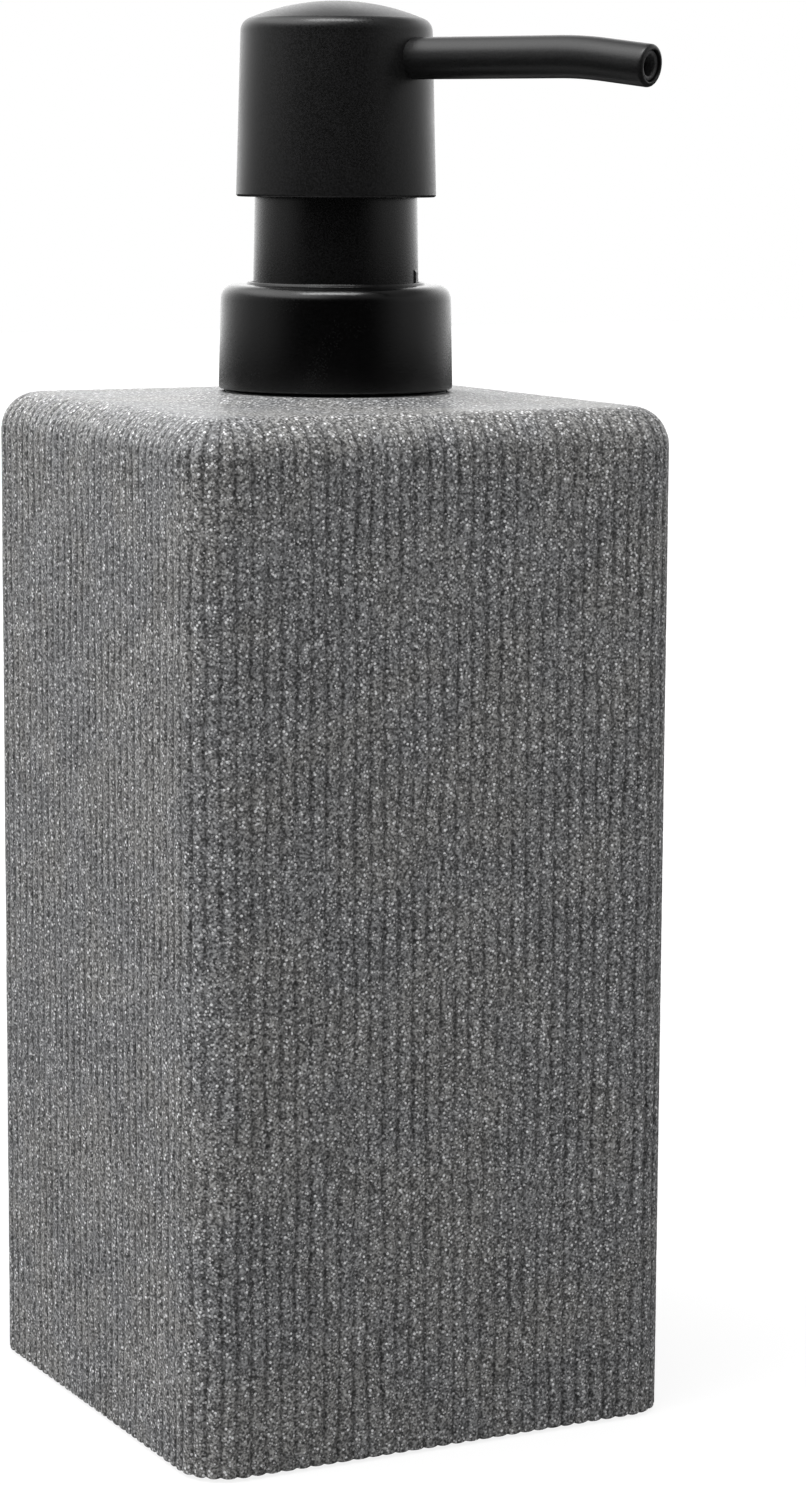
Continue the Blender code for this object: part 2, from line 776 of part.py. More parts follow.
def make_spout(parent):
    make_pipe(
        "spout_tube", SPOUT_ROOT, SPOUT_TIP, SPOUT_R, SPOUT_BORE_R, BLACK, parent
    )
    make_pipe(
        "spout_liner",
        SPOUT_ROOT,
        SPOUT_TIP - LINER_RECESS,
        LINER_R,
        LINER_BORE_R,
        NECK_BLACK,
        parent,
    )


def main():
    make_bottle_body()
    make_base_pad()
    make_base_plate()
    make_neck_insert()

    lift = body_pivot("pump_lift_pivot", GASKET_Z)
    make_neck_gasket(lift)
    unit = body_pivot("thread_rise_pivot", FLANGE_Z, lift)
    make_pump_housing(unit)
    make_guide_sleeve(unit)
    make_valve_cage(unit)
    make_dip_tube(unit)
    make_return_spring(unit)
    closure = body_pivot("closure_turn_pivot", CLOSURE_PLATE_Z, unit)
    make_screw_closure(closure)
    make_closure_shell(closure)
    make_inlet_ball(body_pivot("ball_lift_pivot", BALL_Z, unit))
    stem = body_pivot("pump_stroke_pivot", STEM_Z, unit)
    make_stem(stem)
    make_plunger(stem)
    make_piston(body_pivot("piston_slip_pivot", PISTON_Z, stem))
    head = body_pivot("head_swivel_pivot", HEAD_RIM_Z, stem)
    make_head_shell(head)
    make_head_core(head)
    make_spout(head)


main()
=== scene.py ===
"""The looks of a soap pump dispenser: a square bottle of ribbed, speckled resin
with a satin black pump. Sizes are in millimetres times MM, so that every mesh
is in metres. Places come from the frame."""

import math

import bmesh
import bpy
from mathutils import Matrix, Vector, noise


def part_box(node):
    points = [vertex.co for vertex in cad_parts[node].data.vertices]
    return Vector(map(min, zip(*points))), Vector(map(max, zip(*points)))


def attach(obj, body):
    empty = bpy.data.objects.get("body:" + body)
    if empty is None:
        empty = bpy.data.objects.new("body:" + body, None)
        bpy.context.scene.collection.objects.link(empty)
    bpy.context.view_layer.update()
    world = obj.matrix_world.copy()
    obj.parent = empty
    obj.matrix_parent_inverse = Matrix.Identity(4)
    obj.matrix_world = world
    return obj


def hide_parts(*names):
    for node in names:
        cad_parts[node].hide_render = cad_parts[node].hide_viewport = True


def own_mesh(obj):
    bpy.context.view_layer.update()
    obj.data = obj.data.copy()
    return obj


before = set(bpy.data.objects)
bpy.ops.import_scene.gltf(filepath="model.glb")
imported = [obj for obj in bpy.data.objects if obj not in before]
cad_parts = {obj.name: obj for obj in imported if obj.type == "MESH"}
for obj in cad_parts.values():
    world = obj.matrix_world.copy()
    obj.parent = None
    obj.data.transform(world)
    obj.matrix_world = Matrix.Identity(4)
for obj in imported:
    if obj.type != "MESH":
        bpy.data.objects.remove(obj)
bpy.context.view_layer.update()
MM = 0.001

# Camera
CAMERA_PLACE = Vector((-234.6, -473.5, 167.7)) * MM
CAMERA_YAW = math.radians(27.37)
CAMERA_PITCH = math.radians(8.47)
CAMERA_ROLL = math.radians(0.32)
CAMERA_LENS = 95.6
SENSOR_HEIGHT = 36.0

# Ribbed bottle. As in the photograph, its outside stands a little off the pump
# axis, and its top swells up to the collar round the neck.
OUTSIDE_SHIFT = Vector((-0.87, 0.62)) * MM
RIB_COUNT = 130
RIB_DEPTH = 0.24 * MM
RIB_STEPS = 10
RIB_WAVER = 0.22
GROOVE_SHARPNESS = 2.6
CAST_ROUGHNESS = 0.05 * MM
BASE_RIM_R = 0.25 * MM
SEAT_R = 15.05 * MM
SEAT_FOOT_R = 25.0 * MM
SEAT_HEIGHT = 1.0 * MM
FLANGE_RECESS_R = 14.95 * MM
CORNER_R = 6.4 * MM
TOP_EDGE_R = 5.2 * MM
WALL = 5.5 * MM
MOUTH_R = 12.0 * MM
CAVITY_CORNER_R = 4.0 * MM
CAVITY_CHAMFER = 2.5 * MM

# Spout, on the same centre line as the frame's tube
SPOUT_AZIMUTH = math.radians(-62)
SPOUT_Z = 180.2 * MM
SPOUT_ROOT = 7.3 * MM
SPOUT_TIP = 48.6 * MM
SPOUT_BEND_START = 35.0 * MM
SPOUT_BEND_LENGTH = 6.5 * MM
SPOUT_DROOP = math.radians(7)

# Guide sleeve. Its foot is a little below the collar's top, inside the hole.
SLEEVE_FOOT_Z = 148.7 * MM
LUG_AZIMUTH = math.radians(-43)

# Resin colours: the matrix in its two tints, the light grains and the dark pits
RESIN_GREY = (0.204, 0.206, 0.210)
RESIN_WARM = (0.208, 0.206, 0.202)
RESIN_LIGHT = (0.95, 0.95, 0.96)
RESIN_DARK = (0.035, 0.035, 0.036)

# Patterns are turned off the object's axes, so that no flat face lies along
# their cells and each face shows the same mix.
PATTERN_TURN = (0.52, 0.71, 0.93)

# The floor: its grey as glossy rays meet it, as bounced light meets it and as the
# camera does, and the glow that the camera sees near the object
FLOOR_GREY = 0.03
FLOOR_GREY_BOUNCE = 0.42
FLOOR_GREY_SEEN = 0.16
FLOOR_SEEN_NEAR = 0.86

# The studio: a dark front low down, white behind and beside the object, light
# from the upper left and a soft box overhead. Brightness near the horizon goes
# by the cosine of the angle from the viewer's side.
HORIZON = [
    (-1.0, 2.00),
    (-0.84, 1.60),
    (-0.5, 0.85),
    (0.0, 0.50),
    (0.28, 0.42),
    (0.5, 0.26),
    (0.68, 0.09),
    (0.82, 0.015),
    (1.0, 0.005),
]
SKY_LOW = 0.28
SKY_HIGH = 3.0
SKY_WAY = (-0.86, 0.28, 0.42)
SKY_EDGE = 0.25
SKY_START = 0.38
SKY_FULL = 0.72
BOX_RADIANCE = 10.2
BOX_SIZE = (0.66, 0.30)
BOX_WAY = Vector((-0.17, -0.20, 0.96))


# Meshes


def mesh_object(name, bm, smooth_angle):
    bmesh.ops.recalc_face_normals(bm, faces=bm.faces)
    mesh = bpy.data.meshes.new(name)
    bm.to_mesh(mesh)
    bm.free()
    mesh.shade_smooth()
    mesh.set_sharp_from_angle(angle=math.radians(smooth_angle))
    obj = bpy.data.objects.new(name, mesh)
    bpy.context.scene.collection.objects.link(obj)
    return obj


def skin_rows(name, rows, smooth_angle=40):
    """Quads between rows of points, the last row joined to the first. A row of
    one point is a pole, and two poles in turn aren't joined."""
    bm = bmesh.new()
    made = [[bm.verts.new(point) for point in row] for row in rows]
    for low, high in zip(made, made[1:] + made[:1]):
        count = max(len(low), len(high))
        if count == 1:
            continue
        for i in range(count):
            j = (i + 1) % count
            if len(low) == 1:
                bm.faces.new((low[0], high[j], high[i]))
            elif len(high) == 1:
                bm.faces.new((low[i], low[j], high[0]))
            else:
                bm.faces.new((low[i], low[j], high[j], high[i]))
    return mesh_object(name, bm, smooth_angle)


def on_axis(distance):
    """The pump axis: the point at this height and the two directions across."""
    return Vector((0.0, 0.0, distance)), Vector((1, 0, 0)), Vector((0, 1, 0))


def on_spout(distance):
    """The spout's centre line, at a distance from the pump axis."""
    slope = math.tan(SPOUT_DROOP)
    bent = min(max(distance - SPOUT_BEND_START, 0.0), SPOUT_BEND_LENGTH)
    past = max(distance - SPOUT_BEND_START - SPOUT_BEND_LENGTH, 0.0)
    drop = slope * bent**2 / (2 * SPOUT_BEND_LENGTH) + slope * past
    out = Vector((math.cos(SPOUT_AZIMUTH), math.sin(SPOUT_AZIMUTH), 0.0))
    side = Vector((0, 0, 1)).cross(out)
    way = (out - Vector((0, 0, slope * bent / SPOUT_BEND_LENGTH))).normalized()
    centre = out * distance + Vector((0, 0, SPOUT_Z - drop))
    return centre, side, way.cross(side)


def turned(name, profile, segments=128, line=on_axis, smooth_angle=40):
    """A closed profile of (radius, distance) points turned about a line."""
    rows = []
    for radius, distance in profile:
        centre, across, up = line(distance)
        if radius < 1e-7:
            rows.append([centre])
            continue
        angles = [math.tau * i / segments for i in range(segments)]
        rows.append(
            [
                centre + across * (radius * math.cos(a)) + up * (radius * math.sin(a))
                for a in angles
            ]
        )
    return skin_rows(name, rows, smooth_angle)


def rounded(profile, radii, count=6):
    """A closed profile with some corners rounded: radii maps a corner's index
    to its radius."""
    points = []
    for i, place in enumerate(profile):
        radius = radii.get(i, 0.0)
        if not radius:
            points.append(tuple(place))
            continue
        corner = Vector(place)
        before = (Vector(profile[i - 1]) - corner).normalized()
        after = (Vector(profile[(i + 1) % len(profile)]) - corner).normalized()
        half = before.angle(after) / 2
        reach = radius / math.tan(half)
        centre = corner + (before + after).normalized() * (radius / math.sin(half))
        start = corner + before * reach - centre
        end = corner + after * reach - centre
        sweep = math.atan2(start.x * end.y - start.y * end.x, start.dot(end))
        for k in range(count + 1):
            angle = sweep * k / count
            turn = Matrix.Rotation(angle, 2)
            points.append(tuple(centre + turn @ start))
    return points


def in_metres(profile):
    return [(radius * MM, height * MM) for radius, height in profile]


def between(start, end, count):
    """Even steps from start up to, but not including, end."""
    return [start + (end - start) * i / count for i in range(count)]


# The bottle's outline


def square_point(share, half, corner_r, reference):
    """The point at a share of the way round a rounded square, and its outward
    direction. The corners take the same share on every size of square, which
    is their share on the reference (half side, corner radius)."""
    ref_half, ref_corner = reference
    straight = 2 * (ref_half - ref_corner)
    bend = math.pi / 2 * ref_corner
    side_length = straight + bend
    quarter = share * 4
    side = int(quarter) % 4
    along = (quarter - int(quarter)) * side_length
    inner = half - corner_r
    if along <= straight:
        slide = inner * (2 * along / straight - 1)
        point = Vector((half, slide))
        normal = Vector((1.0, 0.0))
    else:
        angle = (along - straight) / bend * math.pi / 2
        normal = Vector((math.cos(angle), math.sin(angle)))
        point = Vector((inner, inner)) + normal * corner_r
    turn = Matrix.Rotation(side * math.pi / 2, 2)
    return turn @ point, turn @ normal


def groove_at(share, height):
    """0 on a rib's crest, rising to 1 in the groove beside it. The grooves
    waver a little, as cast."""
    place = Vector((share * RIB_COUNT * 0.4, height * 90.0, 0.0))
    across = (share * RIB_COUNT + RIB_WAVER * noise.noise(place)) % 1.0
    return abs(2 * across - 1) ** GROOVE_SHARPNESS


def smooth_step(low, high, value):
    t = min(max((value - low) / (high - low), 0.0), 1.0)
    return t * t * (3 - 2 * t)


def make_bottle():
    """One closed skin: base rim, ribbed sides, rounded top edge, smooth top,
    mouth, and the plain cavity inside. Its groove attribute is 1 in a groove;
    the resin paint lays painted shade in the grooves by it."""
    low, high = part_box("bottle_body")
    half = high.x
    reference = (half, CORNER_R)
    columns = RIB_COUNT * RIB_STEPS
    shares = [i / columns for i in range(columns)]
    rows = []
    grooves = []

    def add_outside(height, inset, corner_r, tilt=0.0, ribs=1.0):
        """A ribbed row. tilt is the surface's angle from upright."""
        row = []
        for share in shares:
            point, normal = square_point(share, half - inset, corner_r, reference)
            point = point + OUTSIDE_SHIFT
            place = Vector((point.x, point.y, height))
            across = normal * math.cos(tilt)
            facing = Vector((across.x, across.y, math.sin(tilt)))
            groove = groove_at(share, height) * ribs
            patch = 1.0 + 0.6 * noise.noise(place * 110.0)
            sunk = RIB_DEPTH * groove * patch
            rough = CAST_ROUGHNESS * abs(noise.noise(place * 700.0))
            row.append(place - facing * (sunk + rough))
            grooves.append(groove * patch)
        rows.append(row)

    def add_plain(row):
        rows.append(row)
        grooves.extend([0.0] * columns)

    def add_inside(height, inset, corner_r):
        points = [square_point(s, half - inset, corner_r, reference)[0] for s in shares]
        add_plain([Vector((p.x, p.y, height)) for p in points])

    def add_circle(height, radius):
        ways = [square_point(s, half, CORNER_R, reference)[0].normalized() for s in shares]
        add_plain([Vector((w.x * radius, w.y * radius, height)) for w in ways])

    wall_top = high.z - TOP_EDGE_R
    add_inside(low.z, WALL, CAVITY_CORNER_R)
    for angle in (1.2, 0.7, 0.3):
        add_outside(
            low.z + BASE_RIM_R * (1 - math.sin(angle)),
            BASE_RIM_R * (1 - math.cos(angle)),
            CORNER_R,
            -angle,
        )
    for height in between(low.z + BASE_RIM_R, wall_top, 90):
        add_outside(height, 0.0, CORNER_R)
    arc_steps = 18
    for i in range(arc_steps + 1):
        angle = math.pi / 2 * i / arc_steps
        inset = TOP_EDGE_R * (1 - math.cos(angle))
        ribs = 1.0 - smooth_step(math.radians(42), math.radians(86), angle)
        height = wall_top + TOP_EDGE_R * math.sin(angle)
        add_outside(height, inset, CORNER_R - inset, angle, ribs)
    edge = rows[-1]
    for step in (0.15, 0.3, 0.45, 0.6, 0.7, 0.8, 0.9, 1.0):
        row = []
        for place in edge:
            ring = place.xy.normalized() * SEAT_R
            flat = place.xy.lerp(ring, step)
            rise = 1.0 - smooth_step(SEAT_R, SEAT_FOOT_R, flat.length)
            row.append(Vector((flat.x, flat.y, high.z + SEAT_HEIGHT * rise)))
        add_plain(row)
    add_circle(high.z, FLANGE_RECESS_R)
    add_circle(high.z, MOUTH_R)
    ceiling = high.z - WALL
    add_circle(ceiling, MOUTH_R)
    add_inside(ceiling, WALL + CAVITY_CHAMFER, CAVITY_CORNER_R - CAVITY_CHAMFER)
    add_inside(ceiling - CAVITY_CHAMFER, WALL, CAVITY_CORNER_R)
    bottle = skin_rows("ribbed_bottle", rows, 60)
    # The groove attribute: where the paint lays painted shade
    layer = bottle.data.attributes.new("groove", "FLOAT", "POINT")
    layer.data.foreach_set("value", grooves)
    return bottle


# Node trees


class Tree:
    """A node tree, and short ways to add nodes and feed them."""

    def __init__(self, tree):
        self.tree = tree

    def node(self, kind, **settings):
        made = self.tree.nodes.new(kind)
        for key, value in settings.items():
            setattr(made, key, value)
        return made

    def put(self, socket, value):
        """A link if value is another node's output, and a plain value if not."""
        if isinstance(value, bpy.types.NodeSocket):
            self.tree.links.new(value, socket)
        elif isinstance(value, tuple) and len(value) == 3 and socket.type == "RGBA":
            socket.default_value = (*value, 1.0)
        else:
            socket.default_value = value

    def math(self, operation, a, b=0.0):
        made = self.node("ShaderNodeMath", operation=operation)
        self.put(made.inputs[0], a)
        self.put(made.inputs[1], b)
        return made.outputs["Value"]

    def vector(self, operation, a, b=(0.0, 0.0, 0.0), result="Vector"):
        made = self.node("ShaderNodeVectorMath", operation=operation)
        self.put(made.inputs[0], a)
        self.put(made.inputs[1], b)
        return made.outputs[result]

    def span(self, value, low, high, to_low=0.0, to_high=1.0, smooth=True):
        """value taken from low..high to to_low..to_high."""
        kind = "SMOOTHSTEP" if smooth else "LINEAR"
        made = self.node("ShaderNodeMapRange", interpolation_type=kind)
        self.put(made.inputs["Value"], value)
        made.inputs["From Min"].default_value = low
        made.inputs["From Max"].default_value = high
        made.inputs["To Min"].default_value = to_low
        made.inputs["To Max"].default_value = to_high
        return made.outputs["Result"]

    def mix(self, factor, a, b, blend="MIX"):
        made = self.node("ShaderNodeMix", data_type="RGBA", blend_type=blend)
        self.put(made.inputs[0], factor)
        self.put(made.inputs[6], a)
        self.put(made.inputs[7], b)
        return made.outputs[2]


class Paint(Tree):
    """A Principled material, with patterns that lie in the object's own space."""

    def __init__(self, name, roughness, specular=0.5, metallic=0.0):
        self.material = bpy.data.materials.new(name)
        self.material.use_nodes = True
        super().__init__(self.material.node_tree)
        self.shader = self.tree.nodes["Principled BSDF"]
        self.shader.inputs["Roughness"].default_value = roughness
        self.shader.inputs["Specular IOR Level"].default_value = specular
        self.shader.inputs["Metallic"].default_value = metallic
        self.upright = self.node("ShaderNodeTexCoord").outputs["Object"]
        turned_place = self.node("ShaderNodeVectorRotate", rotation_type="EULER_XYZ")
        turned_place.inputs["Rotation"].default_value = PATTERN_TURN
        self.put(turned_place.inputs["Vector"], self.upright)
        self.place = turned_place.outputs["Vector"]

    def noise(self, scale, detail=2.0, roughness=0.5, stretch=None):
        """Noise from 0 to 1. With a stretch it lies along the object's axes."""
        made = self.node("ShaderNodeTexNoise")
        place = self.place
        if stretch:
            mapping = self.node("ShaderNodeMapping")
            mapping.inputs["Scale"].default_value = stretch
            self.put(mapping.inputs["Vector"], self.upright)
            place = mapping.outputs["Vector"]
        self.put(made.inputs["Vector"], place)
        self.put(made.inputs["Scale"], scale)
        self.put(made.inputs["Detail"], detail)
        self.put(made.inputs["Roughness"], roughness)
        return made.outputs["Fac"]

    def cells(self, scale):
        """Voronoi cells: the distance to the nearest centre, and two random
        values that are the same all over a cell."""
        made = self.node("ShaderNodeTexVoronoi")
        self.put(made.inputs["Vector"], self.place)
        self.put(made.inputs["Scale"], scale)
        pick = self.node("ShaderNodeSeparateColor")
        self.put(pick.inputs["Color"], made.outputs["Color"])
        return made.outputs["Distance"], pick.outputs["Red"], pick.outputs["Green"]

    def bump(self, height, distance, strength=1.0):
        made = self.node("ShaderNodeBump")
        made.inputs["Strength"].default_value = strength
        made.inputs["Distance"].default_value = distance
        self.put(made.inputs["Height"], height)
        self.put(self.shader.inputs["Normal"], made.outputs["Normal"])

    def colour(self, value):
        self.put(self.shader.inputs["Base Color"], value)

    def roughness(self, value):
        self.put(self.shader.inputs["Roughness"], value)


# Materials


def specks(paint, scale, share, size):
    """Scattered round grains, up to 1 inside and 0 between: share of the cells
    hold one, and size is its radius in cells."""
    distance, pick, grade = paint.cells(scale)
    chosen = paint.math("LESS_THAN", pick, share)
    body = paint.span(distance, size * 0.7, size, 1.0, 0.0)
    brightness = paint.span(grade, 0.0, 1.0, 0.25, 1.0)
    return paint.math("MULTIPLY", paint.math("MULTIPLY", chosen, body), brightness)


def resin_paint(name, shade_grooves=False):
    """Cast grey resin: light mineral grains and dark pits in a mottled matrix.
    With shade_grooves, painted shade darkens the colour in the grooves of the
    groove attribute, and the rib crests are painted a little lighter."""
    paint = Paint(name, 0.45, 0.5)
    fine = paint.noise(3000.0, 1.0, 0.5)
    coarse = paint.noise(1500.0, 1.0, 0.5)
    cloud = paint.noise(70.0, 3.0, 0.6)
    tone = paint.math(
        "MULTIPLY",
        paint.span(fine, 0.3, 0.7, 0.4, 1.6),
        paint.span(coarse, 0.3, 0.7, 0.75, 1.25),
    )
    tone = paint.math("MULTIPLY", tone, paint.span(cloud, 0.3, 0.7, 0.94, 1.06))
    warm = paint.mix(paint.span(cloud, 0.4, 0.6), RESIN_GREY, RESIN_WARM)
    grey = paint.mix(1.0, warm, tone, "MULTIPLY")
    light = specks(paint, 1800.0, 0.38, 0.39)
    small_light = specks(paint, 2700.0, 0.42, 0.43)
    dark = specks(paint, 2100.0, 0.36, 0.5)
    grey = paint.mix(paint.math("MULTIPLY", dark, 0.7), grey, RESIN_DARK)
    grey = paint.mix(paint.math("MULTIPLY", small_light, 0.7), grey, RESIN_LIGHT)
    grey = paint.mix(light, grey, RESIN_LIGHT)
    if shade_grooves:
        # Painted shade in the grooves, and a painted lighter tone on the crests
        groove = paint.node("ShaderNodeAttribute", attribute_name="groove")
        shade = paint.span(groove.outputs["Fac"], 0.0, 1.0, 1.10, 0.58)
        grey = paint.mix(1.0, grey, shade, "MULTIPLY")
    paint.colour(grey)
    paint.roughness(paint.span(fine, 0.3, 0.7, 0.38, 0.55))
    height = paint.math("SUBTRACT", fine, dark)
    height = paint.math("ADD", height, coarse)
    paint.bump(height, 0.085 * MM, 0.8)
    return paint.material


def black_paint(name, roughness, grey, specular=0.5):
    """Moulded black plastic with a very fine satin texture."""
    paint = Paint(name, roughness, specular)
    fine = paint.noise(4200.0, 2.0, 0.6)
    broad = paint.noise(60.0, 3.0, 0.55)
    low = (grey * 0.6,) * 3
    high = (grey * 1.4, grey * 1.4, grey * 1.45)
    paint.colour(paint.mix(paint.span(fine, 0.35, 0.65), low, high))
    paint.roughness(
        paint.math(
            "ADD",
            paint.span(broad, 0.3, 0.7, roughness - 0.03, roughness + 0.03),
            paint.span(fine, 0.3, 0.7, -0.04, 0.04),
        )
    )
    paint.bump(fine, 0.011 * MM, 0.8)
    return paint.material


def pale_paint(name, colour, roughness):
    """Natural polypropylene or polyethylene: milky, slightly waxy."""
    paint = Paint(name, roughness, 0.5)
    cloud = paint.noise(120.0, 3.0, 0.6)
    dim = tuple(c * 0.93 for c in colour)
    paint.colour(paint.mix(cloud, dim, colour))
    paint.shader.inputs["Subsurface Weight"].default_value = 0.25
    paint.shader.inputs["Subsurface Radius"].default_value = (1.2 * MM,) * 3
    paint.shader.inputs["Subsurface Scale"].default_value = 1.0
    paint.roughness(paint.span(cloud, 0.3, 0.7, roughness - 0.05, roughness + 0.05))
    paint.bump(paint.noise(1800.0, 2.0, 0.5), 0.01 * MM, 0.5)
    return paint.material


def foam_paint(name, colour, pore=1600.0):
    """Closed-cell foam: fine pores in a matt surface."""
    paint = Paint(name, 0.92, 0.3)
    distance = paint.cells(pore)[0]
    dim = tuple(c * 0.5 for c in colour)
    paint.colour(paint.mix(paint.span(distance, 0.1, 0.6), dim, colour))
    paint.bump(distance, 0.12 * MM, 0.9)
    return paint.material


def steel_paint():
    """Bright steel wire, faintly streaked."""
    paint = Paint("bright_steel_wire", 0.22, 0.5, 1.0)
    drawn = paint.noise(900.0, 3.0, 0.6, (1.0, 1.0, 4.0))
    paint.colour(paint.mix(drawn, (0.52, 0.52, 0.53), (0.68, 0.68, 0.69)))
    paint.roughness(paint.span(drawn, 0.3, 0.7, 0.16, 0.3))
    paint.bump(drawn, 0.004 * MM, 0.5)
    return paint.material


def dress(obj, material):
    obj.data.materials.clear()
    obj.data.materials.append(material)
    return obj


def stand_for(obj, node, body, material):
    """The piece takes a frame node's place, rides on its body and is painted."""
    dress(obj, material)
    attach(obj, body)
    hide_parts(node)
    return obj


# Pump pieces


def make_closure_shell():
    low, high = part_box("closure_shell")
    rim, foot, top = high.x / MM, low.z / MM, high.z / MM
    profile = [
        (11.35, top + 0.2),
        (11.75, top + 0.2),
        (11.9, top - 0.1),
        (rim - 2.3, top - 0.15),
        (rim - 0.3, top - 0.3),
        (rim, foot),
        (14.2, foot),
        (14.2, top - 2.0),
        (11.35, top - 2.0),
    ]
    corners = {0: 0.18, 1: 0.18, 4: 1.9, 5: 0.3, 6: 0.2, 8: 0.2}
    return turned("collar", in_metres(rounded(profile, corners, 8)))


def make_guide_sleeve():
    low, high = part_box("guide_sleeve")
    spigot, foot, top = low.z / MM, SLEEVE_FOOT_Z / MM, high.z / MM
    profile = [
        (10.74, top),
        (11.04, foot),
        (6.9, foot),
        (6.9, spigot),
        (5.6, spigot),
        (5.6, foot - 1.2),
        (4.35, foot - 1.2),
        (4.35, foot + 1.2),
        (9.64, foot + 1.2),
        (9.34, top),
    ]
    corners = {0: 0.5, 1: 0.2, 3: 0.3, 7: 0.2, 8: 0.3, 9: 0.3}
    sleeve = turned("sleeve", in_metres(rounded(profile, corners)))
    add_lug(sleeve)
    return sleeve


def add_lug(sleeve):
    """The short upright key just over the collar, chamfered all round. Each
    ring is its radius, half width, and lowest and highest point over the foot."""
    bm = bmesh.new()
    bm.from_mesh(sleeve.data)
    rings = []
    for radius, half, low, high in (
        (10.8, 0.6, 2.0, 4.0),
        (11.05, 0.6, 2.0, 4.0),
        (11.2, 0.35, 2.3, 3.7),
    ):
        ring = []
        for side, height in ((-1, low), (1, low), (1, high), (-1, high)):
            turn = LUG_AZIMUTH + side * half / radius
            x = math.cos(turn) * radius * MM
            y = math.sin(turn) * radius * MM
            ring.append(bm.verts.new((x, y, SLEEVE_FOOT_Z + height * MM)))
        rings.append(ring)
    for inner, outer in zip(rings, rings[1:]):
        for k in range(4):
            bm.faces.new((inner[k], inner[k - 3], outer[k - 3], outer[k]))
    bm.faces.new(rings[-1])
    bm.to_mesh(sleeve.data)
    bm.free()


def dome_height(radius, top):
    """The height of a shallow dome over a point at this radius, in millimetres."""
    dome_r = 30.0
    return top - dome_r + math.sqrt(dome_r**2 - radius**2)


def make_head_shell():
    low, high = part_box("head_shell")
    rim, foot, top = high.x / MM, low.z / MM, high.z / MM
    shoulder = rim - 0.62
    wall = 1.2
    profile = [(0.0, top)]
    profile += [(r, dome_height(r, top)) for r in between(1.0, shoulder, 12)]
    profile.append((shoulder, dome_height(shoulder, top)))
    edge = len(profile) - 1
    profile.append((rim, foot))
    profile.append((rim - wall, foot))
    profile.append((shoulder - wall, top - 3.8))
    roof = between(shoulder - 2.2, 0.0, 6)
    profile += [(r, dome_height(r, top - wall)) for r in roof]
    profile.append((0.0, top - wall))
    corners = {edge: 1.8, edge + 1: 0.35, edge + 2: 0.35}
    return turned("head", in_metres(rounded(profile, corners, 10)))


def make_spout_tube():
    tip, root = SPOUT_TIP / MM, SPOUT_ROOT / MM
    outside, bore, lip = 2.72, 2.2, 2.0
    profile = [(lip, tip), (outside, tip)]
    profile += [(outside, d) for d in between(tip - 1.0, root, 30)]
    profile += [(outside, root), (bore, root)]
    profile += [(bore, d) for d in between(root + 1.0, tip - 0.5, 30)]
    corners = {0: 0.1, 1: 0.5}
    return turned("spout", in_metres(rounded(profile, corners)), 64, on_spout)


def make_spout_liner():
    tip, root = SPOUT_TIP / MM - 0.35, SPOUT_ROOT / MM
    outside, bore = 1.95, 1.3
    profile = [(bore, tip), (outside, tip)]
    profile += [(outside, d) for d in between(tip - 1.0, root, 30)]
    profile += [(outside, root), (bore, root)]
    profile += [(bore, d) for d in between(root + 1.0, tip - 0.5, 30)]
    corners = {0: 0.2, 1: 0.15}
    return turned("spout_inner_tube", in_metres(rounded(profile, corners)), 48, on_spout)


def make_spring():
    """A round wire coil with one close turn at each end."""
    low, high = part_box("return_spring")
    wire = 0.45 * MM
    radius = high.x - wire
    turns, per_turn, around = 9, 28, 10
    end_pitch = 1.2 * MM
    rise = high.z - low.z - 2 * wire
    rows = []
    for i in range(turns * per_turn + 1):
        turn = i / per_turn
        open_turns = min(max(turn - 1.0, 0.0), turns - 2.0)
        height = low.z + wire + (turn - open_turns) * end_pitch
        height += (rise - 2 * end_pitch) * open_turns / (turns - 2.0)
        angle = math.tau * turn
        out = Vector((math.cos(angle), math.sin(angle), 0.0))
        ring = []
        for k in range(around):
            a = math.tau * k / around
            ring.append(
                out * (radius + wire * math.cos(a))
                + Vector((0, 0, height + wire * math.sin(a)))
            )
        rows.append(ring)
    rows.insert(0, [sum(rows[0], Vector()) / around])
    rows.append([sum(rows[-1], Vector()) / around])
    return skin_rows("coil_spring", rows, 50)


# Studio


def make_floor():
    """White to the eye. It lights the object from below like a pale table, but
    the black plastic doesn't mirror it."""
    bm = bmesh.new()
    bmesh.ops.create_grid(bm, x_segments=2, y_segments=2, size=3.0)
    floor = mesh_object("floor", bm, 30)
    material = bpy.data.materials.new("white_floor")
    material.use_nodes = True
    material.node_tree.nodes.clear()
    tree = Tree(material.node_tree)
    path = tree.node("ShaderNodeLightPath")
    seen = path.outputs["Is Camera Ray"]
    place = tree.node("ShaderNodeTexCoord").outputs["Object"]
    reach = tree.vector("LENGTH", place, result="Value")
    glow = tree.node("ShaderNodeEmission")
    far = tree.span(reach, 0.1, 0.5, FLOOR_SEEN_NEAR, 1.0)
    tree.put(glow.inputs["Strength"], tree.math("MULTIPLY", far, seen))
    bounced = path.outputs["Is Diffuse Ray"]
    grey = tree.span(bounced, 0.0, 1.0, FLOOR_GREY, FLOOR_GREY_BOUNCE)
    picked = tree.node("ShaderNodeMix", data_type="FLOAT")
    tree.put(picked.inputs["Factor"], seen)
    tree.put(picked.inputs["A"], grey)
    tree.put(picked.inputs["B"], FLOOR_GREY_SEEN)
    matt = tree.node("ShaderNodeBsdfDiffuse")
    tree.put(matt.inputs["Color"], picked.outputs["Result"])
    both = tree.node("ShaderNodeAddShader")
    tree.put(both.inputs[0], glow.outputs[0])
    tree.put(both.inputs[1], matt.outputs[0])
    out = tree.node("ShaderNodeOutputMaterial")
    tree.put(out.inputs["Surface"], both.outputs[0])
    dress(floor, material)


